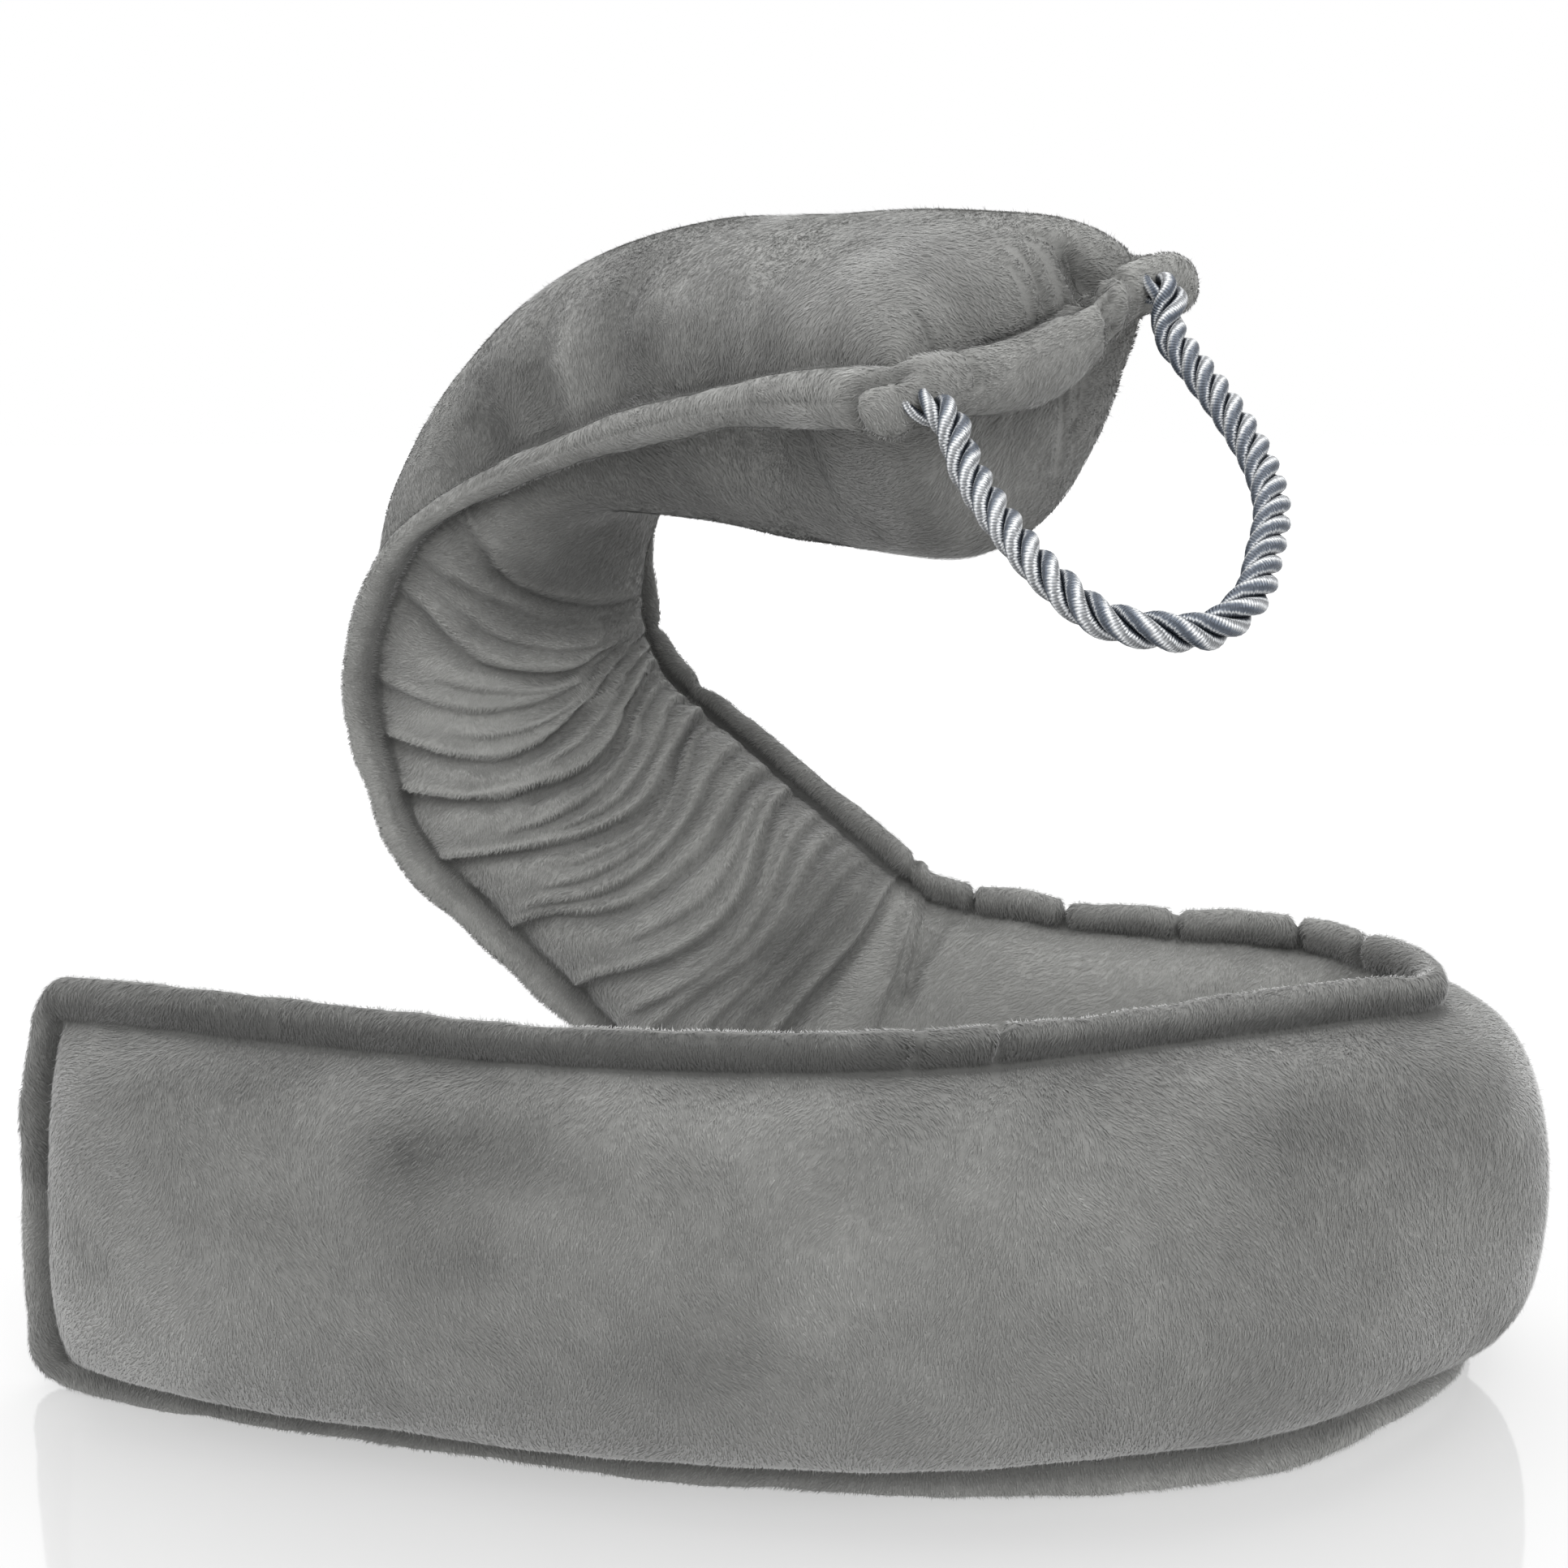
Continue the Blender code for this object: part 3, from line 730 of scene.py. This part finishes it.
class SCENE_OT_excluder_stage(bpy.types.Operator):
    """Set up the camera, the pale floor and the soft studio light"""
    bl_idname = "scene.excluder_stage"
    bl_label = "Stage"

    CAMERA_PLACE = (-0.00387, -0.5021, 0.2255)
    SENSOR_WIDTH = 36.0
    FLOOR_RADIUS = 6.0
    FLOOR_LEVEL = -0.0002
    LIT_PLACE = (0.0, 0.0, 0.1)

    # Soft lights: name, place, size and share of the key light's power
    LAMPS = (
        ("key", (0.35, -1.15, 1.1), 1.2, 1.0),
        ("top", (0.05, 0.25, 1.5), 1.8, 1.0),
        ("side", (-1.3, -0.3, 0.9), 0.8, 0.3),
    )

    def execute(self, context):
        look = context.scene.excluder_stage_look
        self.camera(context, look)
        self.floor(look)
        self.lights(context, look)
        return {"FINISHED"}

    def camera(self, context, look):
        data = bpy.data.cameras.new("camera")
        data.lens = look.lens
        data.sensor_width = self.SENSOR_WIDTH
        camera = bpy.data.objects.new("camera", data)
        camera.location = self.CAMERA_PLACE
        camera.rotation_euler = (math.pi / 2 - look.tilt, 0.0, 0.0)
        context.scene.collection.objects.link(camera)
        context.scene.camera = camera

    def floor(self, look):
        deselect()
        bpy.ops.mesh.primitive_circle_add(
            vertices=96, radius=self.FLOOR_RADIUS, fill_type="NGON",
            location=(0.0, 0.0, self.FLOOR_LEVEL))
        floor = bpy.context.view_layer.objects.active
        floor.name = "floor"
        paint = Paint("floor_gloss", roughness=0.06)
        where = paint.node("ShaderNodeTexCoord", output="Object")
        haze = paint.noise(where, 3.0, 2.0)
        grey = look.floor_grey
        paint.set("Base Color", paint.mix(haze, (grey,) * 3, (grey * 1.02,) * 3))
        paint.set("IOR", 1.95)
        paint.set("Emission Color", (1.0, 1.0, 1.0))
        paint.set("Emission Strength", look.floor_glow)
        floor.data.materials.append(paint.material)

    def lights(self, context, look):
        world = bpy.data.worlds.new("studio")
        world.use_nodes = True
        background = world.node_tree.nodes["Background"]
        background.inputs["Color"].default_value = (1.0, 1.0, 1.0, 1.0)
        background.inputs["Strength"].default_value = 1.0
        context.scene.world = world
        context.scene.view_settings.view_transform = "Standard"
        for name, place, size, share in self.LAMPS:
            data = bpy.data.lights.new(name, "AREA")
            data.shape = "DISK"
            data.size = size
            data.energy = look.key * share
            lamp = bpy.data.objects.new(name, data)
            lamp.location = place
            aim = Vector(self.LIT_PLACE) - Vector(place)
            lamp.rotation_euler = aim.to_track_quat("-Z", "Y").to_euler()
            context.scene.collection.objects.link(lamp)


class OBJECT_OT_excluder_loop(bpy.types.Operator):
    """Lay up the three wound satin strands of the hanging loop"""
    bl_idname = "object.excluder_loop"
    bl_label = "Satin loop"

    STRANDS = 3
    SIDES = 14
    RINGS = 300
    PATH_STEP = 6
    STRAND_SHARE = 0.464
    SPLAY = 0.35
    SPLAY_REACH = 0.010
    THIN_END = 0.5
    TAPER_REACH = 0.010

    def execute(self, context):
        look = context.scene.excluder_loop_look
        route = (np.array(LOOP_ROUTE) + ORIGIN_SHIFT) * MM
        gaps = np.linalg.norm(np.diff(route, axis=0), axis=1)
        knots = np.concatenate([[0.0], np.cumsum(gaps)])
        places = np.linspace(0.0, knots[-1], self.RINGS)
        centres = smooth(route, knots, places)
        tangents = unit(np.gradient(centres, axis=0))
        normals = self.steady_normals(tangents)
        points, faces, uvs = self.strands(look, places, centres, tangents, normals)
        piece = new_mesh("satin_loop", points, faces)
        layer = piece.data.uv_layers.new(name="strand")
        layer.data.foreach_set("uv", uvs.astype(np.float32).ravel())
        piece.data.materials.append(satin_thread(look))
        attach(piece, "root")
        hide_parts("hanging_loop")
        return {"FINISHED"}

    @staticmethod
    def steady_normals(tangents):
        """Directions across the cord that turn no more than its bends make them."""
        normals = [Vector(tangents[0]).orthogonal().normalized()]
        for tangent in tangents[1:]:
            carried = np.array(normals[-1])
            carried = carried - tangent * carried.dot(tangent)
            normals.append(Vector(carried).normalized())
        return np.array(normals)

    def strands(self, look, places, centres, tangents, normals):
        radius = look.diameter / 2
        strand = radius * self.STRAND_SHARE
        across = np.cross(tangents, normals)
        points = []
        faces = []
        uvs = []
        rings = len(places)
        for number in range(self.STRANDS):
            turn = 2 * math.pi * (places / look.lay + number / self.STRANDS)
            outward = normals * np.cos(turn)[:, None] + across * np.sin(turn)[:, None]
            from_end = np.minimum(places, places[-1] - places)
            splay = 1 + self.SPLAY * (1 - ease(from_end / self.SPLAY_REACH))
            slim = self.THIN_END + (1 - self.THIN_END) * ease(from_end / self.TAPER_REACH)
            core = centres + outward * ((radius - strand) * splay)[:, None]
            ahead = unit(np.gradient(core, axis=0))
            outward = unit(outward - ahead * (outward * ahead).sum(1)[:, None])
            sideways = np.cross(ahead, outward)
            angles = (np.arange(self.SIDES) / self.SIDES - 0.5) * 2 * math.pi
            ring = outward[:, None] * np.cos(angles)[None, :, None]
            ring = ring + sideways[:, None] * np.sin(angles)[None, :, None]
            start = number * (rings * self.SIDES + 2)
            points.append((core[:, None] + ring * (strand * slim)[:, None, None]).reshape(-1, 3))
            points.append(core[[0, -1]])
            length = np.concatenate(
                [[0.0], np.cumsum(np.linalg.norm(np.diff(core, axis=0), axis=1))])
            for step in range(rings - 1):
                for corner in range(self.SIDES):
                    after = (corner + 1) % self.SIDES
                    here = start + step * self.SIDES
                    there = here + self.SIDES
                    faces.append((here + corner, here + after, there + after, there + corner))
                    low = length[step] / STRAND_UNIT
                    high = length[step + 1] / STRAND_UNIT
                    left = corner / self.SIDES
                    right = (corner + 1) / self.SIDES
                    uvs.append(((low, left), (low, right), (high, right), (high, left)))
            self.close_ends(start, rings, faces, uvs)
        return np.vstack(points), np.array(faces), np.array(uvs)

    def close_ends(self, start, rings, faces, uvs):
        """Close a strand's two ends with quads round a middle point."""
        middle = start + rings * self.SIDES
        last = start + (rings - 1) * self.SIDES
        for corner in range(0, self.SIDES, 2):
            after = corner + 1
            beyond = (corner + 2) % self.SIDES
            faces.append((middle, start + beyond, start + after, start + corner))
            faces.append((middle + 1, last + corner, last + after, last + beyond))
            uvs.extend([((0.0, 0.1),) * 4] * 2)


class OBJECT_OT_excluder_plush(bpy.types.Operator):
    """Shape the filled cloth with its pleats and seams and cover it with short pile"""
    bl_idname = "object.excluder_plush"
    bl_label = "Plush cushion"

    # Shape: divisions of the solid's mesh, the pleated reach of the cushion, how far past
    # it the cloth is evened, the rounds of evening, and the ground's drop under the pile
    LEVELS = 2
    PLEATED = (560.0, 742.0)
    PAST_PLEATS = 12
    POINT_ROUNDS = 24
    PLACE_ROUNDS = 40
    GROUND_DROP = 0.12

    # Heights in millimetres: puckers beside the seam; ripples and swell of the flange,
    # and how much plumper it is at the raised end and there at one side; its sway; how
    # far the front end's flange stands out at its foot and in at its top; the stitched
    # channel and the joining seam's parting, each as depth and width. The ripple is a
    # share of the filling's softness
    RIPPLE = 0.35
    PUCKER = 0.5
    HEM_RIPPLE = 0.35
    HEM_SWELL = 0.55
    RAISED_HEM = 0.9
    END_PLUMP = 1.3
    SWAY = 0.7
    FRONT_OUT = 2.5
    FRONT_IN = 2.0
    CHANNEL = (1.3, 0.9)
    PARTING = (0.55, 0.7)

    # How the pile's brushing varies: layers of dark mottling and of turning; how much darker it
    # is on the front run's flange; the painted shade at the foot of a flange, beside a seam and
    # in it, and the painted highlight that makes a flange's edge lighter
    MOTTLE = ((0.37, 34.0, 8), (0.30, 9.0, 9), (0.15, 3.5, 10))
    SWIRL = ((1.5, 32.0, 6), (0.7, 8.0, 7))
    TURN_SPREAD = 0.18
    FRONT_HEM_SHADE = 0.7
    HEM_FOOT_SHADE = 1.2
    HEM_EDGE_LIGHT = 0.5
    BESIDE_SEAM_SHADE = 0.4
    SEAM_SHADE = 2.3

    # Pile: shares of the tufts, darkest last, that each shade ends at; the step by which a slope
    # is measured and the steepest that counts; how much painted shade a fold's depth puts on the
    # pile, and how much the tufts differ; shortest and longest tuft, and its share at a seam;
    # where the pile starts beside a seam and the parting, and the reach to its full number
    SEED = 7
    QUICK_SHARE = 4
    LOTS = (0.0, 0.10, 0.28, 0.52, 0.74, 0.89, 0.96, 1.0)
    STEP = 0.25
    STEEPEST = 1.3
    FOLD_SHADE = 0.5
    SHADE_SPREAD = 0.17
    LENGTHS = (0.75, 1.2)
    SEAM_LENGTH = 0.45
    SEAM_START = (0.35, 0.5)
    PARTING_START = (0.1, 0.4)

    # Tufts: share that stands up; mean and spread of the lift of those and of the rest,
    # in degrees; the lowest tip; how far a tuft's shading leans with it and scatters
    STRAY_SHARE = 0.035
    STRAY_LIFT = (42.0, 12.0)
    LIFT = (12.0, 3.0)
    LOWEST_TIP = 0.0001
    SHADING_LEAN = 0.16
    SHADING_SPREAD = 0.03

    def execute(self, context):
        look = context.scene.excluder_plush_look
        piece = copy_of("filled_cushion", "plush_cushion")
        apply(piece, "SUBSURF", levels=self.LEVELS, render_levels=self.LEVELS)
        self.refine_pleats(piece)
        mesh = piece.data
        points = mesh_array(mesh, mesh.vertices, "co", 3) / MM
        free = self.pleated(Cloth(points))
        evened = [settle(mesh, column, free, self.POINT_ROUNDS) for column in points.T]
        points = np.stack(evened, axis=1)
        mesh.vertices.foreach_set("co", (points * MM).astype(np.float32).ravel())
        mesh.update()
        normals = mesh_array(mesh, mesh.vertex_normals, "vector", 3)
        cloth = Cloth(points)
        for name in ("place", "side", "stretch"):
            setattr(cloth, name, settle(mesh, getattr(cloth, name), free, self.PLACE_ROUNDS))
        soft = self.soften(look, cloth, points, normals)
        depth = pressed_in(cloth.place, cloth.side, cloth.face, cloth.stretch)
        dark = self.patches(cloth, soft)
        # Attribute for the ground's colour: the pile's tone with painted shade in seams and
        # folds and painted light
        brushed = mesh.attributes.new("brushed", "FLOAT", "POINT")
        brushed.data.foreach_set("value", (dark + self.FOLD_SHADE * depth).astype(np.float32))
        rise = -depth - self.seams(cloth.seam_gap, cloth.edge_gap)
        moved = soft + normals * (rise - self.GROUND_DROP)[:, None]
        moved[:, 2] = np.maximum(moved[:, 2], 0.0)
        mesh.vertices.foreach_set("co", (moved * MM).astype(np.float32).ravel())
        mesh.update()
        mesh.shade_smooth()
        mesh.materials.clear()
        mesh.materials.append(plush_ground(look))
        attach(piece, "root")
        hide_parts("filled_cushion")
        self.grow_pile(look, mesh, cloth, soft, normals, dark)
        return {"FINISHED"}

    def refine_pleats(self, piece):
        """Divide the faces that carry the pleats once more."""
        mesh = piece.data
        points = mesh_array(mesh, mesh.vertices, "co", 3) / MM
        cloth = Cloth(points)
        low, high = self.PLEATED
        inside = (cloth.face < 0) & (cloth.from_seam > 0.5)
        inside &= (cloth.place > low) & (cloth.place < high)
        corners = np.empty(len(mesh.polygons) * 4, dtype=np.int32)
        mesh.polygons.foreach_get("vertices", corners)
        chosen = inside[corners.reshape(-1, 4)].all(1)
        bpy.ops.object.mode_set(mode="EDIT")
        bpy.ops.mesh.select_mode(type="FACE")
        bpy.ops.mesh.select_all(action="DESELECT")
        bpy.ops.object.mode_set(mode="OBJECT")
        mesh.polygons.foreach_set("select", chosen)
        bpy.ops.object.mode_set(mode="EDIT")
        bpy.ops.mesh.subdivide(number_cuts=1, smoothness=1.0)
        bpy.ops.mesh.select_all(action="SELECT")
        bpy.ops.mesh.quads_convert_to_tris()
        bpy.ops.object.mode_set(mode="OBJECT")

    def pleated(self, cloth):
        """Whether each point is on the inner face, between the seams, where it pleats."""
        low, high = self.PLEATED
        between = cloth.place > low - self.PAST_PLEATS
        between &= cloth.place < high + self.PAST_PLEATS
        return between & (cloth.face < 0) & (cloth.from_seam > 1.0)

    def soften(self, look, cloth, points, normals):
        """The filling's soft unevenness, puckers at the seams and the flange's sway."""
        body = ease(cloth.seam_gap / 8.0) * (cloth.from_seam > 0)
        hem = ease(-cloth.from_seam / 3.0)
        rise = look.softness / MM * body * uneven(points, 42.0, 1)
        rise += look.softness / MM * self.RIPPLE * body * uneven(points, 15.0, 2)
        rise += self.PUCKER * bell(cloth.seam_gap - 3.0, 3.0) * uneven(points, 6.5, 3)
        rise += self.HEM_RIPPLE * (cloth.from_seam < 0) * uneven(points, 7.0, 4)
        rise += self.HEM_SWELL * hem * uneven(points, 14.0, 11)
        raised = ease((cloth.place - cloth.length + 60.0) / 25.0)
        rise += self.RAISED_HEM * raised * hem
        ended = ease((cloth.place - cloth.length + END_HEM + 4.0) / 4.0)
        plump = bell(cloth.side + 4.0, 26.0) * ease((17.0 - cloth.side) / 6.0)
        rise += self.END_PLUMP * ended * hem * plump
        sway = self.SWAY * ease(1 - cloth.from_edge / 9.0) * uneven(points, 30.0, 5)
        top = ease((cloth.side - 15.0) / 30.0)
        outward = self.FRONT_OUT - (self.FRONT_OUT + self.FRONT_IN) * top
        outward *= ease((10.0 - cloth.place) / 8.0)
        points = points - cloth.along * outward[:, None]
        return points + normals * rise[:, None] + cloth.facing * sway[:, None]

    def seams(self, seam_gap, edge_gap):
        """Depth of the stitched channel and of the joining seam's parting."""
        channel = self.CHANNEL[0] * bell(seam_gap, self.CHANNEL[1])
        return channel + self.PARTING[0] * bell(edge_gap, self.PARTING[1])

    def grow_pile(self, look, mesh, cloth, soft, normals, dark):
        """Tufts all over the cloth, lit like the pleated cloth that they stand on."""
        rng = np.random.default_rng(self.SEED)
        count = look.tufts
        corners = mesh_triangles(mesh)
        triangle, weights = self.scatter(rng, soft, corners, count)
        chosen = corners[triangle]

        def spread(values):
            if values.ndim == 1:
                return (values[chosen] * weights).sum(1)
            return (values[chosen] * weights[:, :, None]).sum(1)

        place = spread(cloth.place)
        side = spread(cloth.side)
        face = spread(cloth.face)
        stretch = spread(cloth.stretch)
        seam_gap = spread(cloth.seam_gap)
        edge_gap = spread(cloth.edge_gap)
        along = unit(spread(cloth.along))
        across = unit(spread(cloth.across))
        normal = unit(spread(normals))
        depth = pressed_in(place, side, face, stretch)
        fall_along = pressed_in(place + self.STEP, side, face, stretch) - depth
        fall_along = fall_along / self.STEP / np.maximum(stretch, 0.2)
        fall_along = np.clip(fall_along, -self.STEEPEST, self.STEEPEST)
        fall_across = pressed_in(place, side + self.STEP, face, stretch) - depth
        fall_across = np.clip(fall_across / self.STEP, -self.STEEPEST, self.STEEPEST)
        roots = spread(soft) - normal * (depth + self.seams(seam_gap, edge_gap))[:, None]
        tilted = unit(normal + along * fall_along[:, None] + across * fall_across[:, None])
        swirl = spread(layered(soft, self.SWIRL))
        lean = self.lean(rng, tilted, across, swirl, seam_gap, side)
        # Painted shade in the pleats and furrows, darker the deeper they are pressed in
        dark = spread(dark) + self.FOLD_SHADE * depth
        dark = dark + rng.normal(0.0, self.SHADE_SPREAD, count)
        grown = self.SEAM_LENGTH + (1 - self.SEAM_LENGTH) * ease(seam_gap / 3.5)
        length = rng.uniform(*self.LENGTHS, count) * grown
        beside_seam = ease((seam_gap - self.SEAM_START[0]) / self.SEAM_START[1])
        beside_parting = ease((edge_gap - self.PARTING_START[0]) / self.PARTING_START[1])
        kept = rng.random(count) < beside_seam * beside_parting
        # The tufts sort by darkness, the pile's tone with painted shade and light, into shaded
        # copies of one grey
        order = np.argsort(dark, kind="stable")
        order = order[kept[order]]
        edges = (np.array(self.LOTS) * len(order)).astype(int)
        for number, (low, high) in enumerate(zip(edges, edges[1:])):
            lot = order[low:high]
            surface = plush_tuft(look, number, float(dark[lot].mean()))
            piece = self.tufts(
                look, f"plush_pile_{number + 1}", roots[lot] * MM, tilted[lot], lean[lot],
                length[lot], rng)
            piece.data.materials.append(surface)
            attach(piece, "root")

    def patches(self, cloth, points):
        """How dark the pile looks: large soft patches and fine mottling, with painted shade and
        light from the table, painted shade at a flange's foot, beside and in a seam, and a
        painted highlight on a flange's edge.
        """
        patch = layered(points, self.MOTTLE)
        # Rows of the table: the later ones are painted shade and painted light
        for place, side, face, reach_along, reach_across, strength in NAP_AND_PAINTED_SHADING:
            over = bell(cloth.place - place, reach_along) * bell(cloth.side - side, reach_across)
            patch += strength * over * (cloth.face == face)
        flange = cloth.from_seam < 0
        front = (cloth.side > 0) * ease((420 - cloth.place) / 60)
        patch += self.FRONT_HEM_SHADE * flange * front
        # Painted shade at the foot of a flange, beside a seam and in it; painted highlight
        # towards a flange's edge
        foot = self.HEM_FOOT_SHADE * bell(cloth.seam_gap, 4.5)
        patch += flange * (foot - self.HEM_EDGE_LIGHT * ease((cloth.seam_gap - 4) / 4))
        patch += self.BESIDE_SEAM_SHADE * bell(cloth.seam_gap, 4.0)
        return patch + self.SEAM_SHADE * bell(cloth.seam_gap, 1.4)

    @staticmethod
    def scatter(rng, points, corners, count):
        """Random places on the triangles, as many on each as its area asks."""
        first, second, third = (points[corners[:, corner]] for corner in range(3))
        areas = np.linalg.norm(np.cross(second - first, third - first), axis=1)
        total = np.cumsum(areas)
        triangle = np.searchsorted(total, rng.random(count) * total[-1])
        triangle = np.minimum(triangle, len(corners) - 1)
        root = np.sqrt(rng.random(count))
        slide = rng.random(count)
        weights = np.stack([1 - root, root * (1 - slide), root * slide], axis=1)
        return triangle, weights

    def lean(self, rng, normal, across, swirl, seam_gap, side):
        """The way the tufts lie: towards the long edge, but away from a near seam."""
        near = bell(seam_gap, 4.0) * (side < 0)
        down = across * (2 * near - 1)[:, None]
        flat = unit(down - normal * (down * normal).sum(1)[:, None] + normal * 1e-6)
        beside = np.cross(normal, flat)
        turn = swirl + rng.normal(0.0, self.TURN_SPREAD, len(swirl))
        return flat * np.cos(turn)[:, None] + beside * np.sin(turn)[:, None]

    def tufts(self, look, name, roots, normal, lean, length, rng):
        """One shade's tufts: a tapering blade each, a few of them standing up."""
        count = len(roots)
        stray = rng.random(count) < self.STRAY_SHARE
        steep = rng.normal(*self.STRAY_LIFT, count)
        low = rng.normal(*self.LIFT, count)
        lift = np.radians(np.where(stray, steep, low))[:, None]
        reach = lean * np.cos(lift) + normal * np.sin(lift)
        wide = np.where(stray, 0.5, 1.0)[:, None]
        half = np.cross(normal, lean) * (look.pile_width / 2) * wide
        tips = roots + reach * length[:, None] * look.pile_length
        tips[:, 2] = np.maximum(tips[:, 2], self.LOWEST_TIP)
        points = np.stack([roots + half, roots - half, tips], axis=1).reshape(-1, 3)
        faces = np.arange(count * 3).reshape(-1, 3)
        geometric = np.cross(points[1::3] - points[0::3], points[2::3] - points[0::3])
        turned = (geometric * normal).sum(1) < 0
        faces[turned] = faces[turned][:, ::-1]
        piece = new_mesh(name, points, faces)
        ruffle = rng.normal(0.0, self.SHADING_SPREAD, (count, 3))
        shading = unit(normal + reach * self.SHADING_LEAN + ruffle)
        piece.data.normals_split_custom_set_from_vertices(np.repeat(shading, 3, axis=0))
        return piece


class VIEW3D_PT_excluder(bpy.types.Panel):
    """The excluder's steps and the sizes and colours that they use"""
    bl_idname = "VIEW3D_PT_excluder"
    bl_label = "Draught Excluder"
    bl_space_type = "VIEW_3D"
    bl_region_type = "UI"
    bl_category = "Draught Excluder"

    def draw(self, context):
        scene = context.scene
        groups = (
            (scene.excluder_stage_look, "scene.excluder_stage"),
            (scene.excluder_loop_look, "object.excluder_loop"),
            (scene.excluder_plush_look, "object.excluder_plush"),
        )
        for look, operator in groups:
            box = self.layout.box()
            box.operator(operator)
            for name in look.__annotations__:
                box.prop(look, name)


CLASSES = (
    PlushLook,
    LoopLook,
    StageLook,
    SCENE_OT_excluder_stage,
    OBJECT_OT_excluder_loop,
    OBJECT_OT_excluder_plush,
    VIEW3D_PT_excluder,
)


def register():
    for made in CLASSES:
        bpy.utils.register_class(made)
    bpy.types.Scene.excluder_plush_look = PointerProperty(type=PlushLook)
    bpy.types.Scene.excluder_loop_look = PointerProperty(type=LoopLook)
    bpy.types.Scene.excluder_stage_look = PointerProperty(type=StageLook)


def unregister():
    del bpy.types.Scene.excluder_stage_look
    del bpy.types.Scene.excluder_loop_look
    del bpy.types.Scene.excluder_plush_look
    for made in reversed(CLASSES):
        bpy.utils.unregister_class(made)


def main():
    register()
    bpy.ops.scene.excluder_stage()
    bpy.ops.object.excluder_loop()
    bpy.ops.object.excluder_plush()


if __name__ == "__main__":
    main()
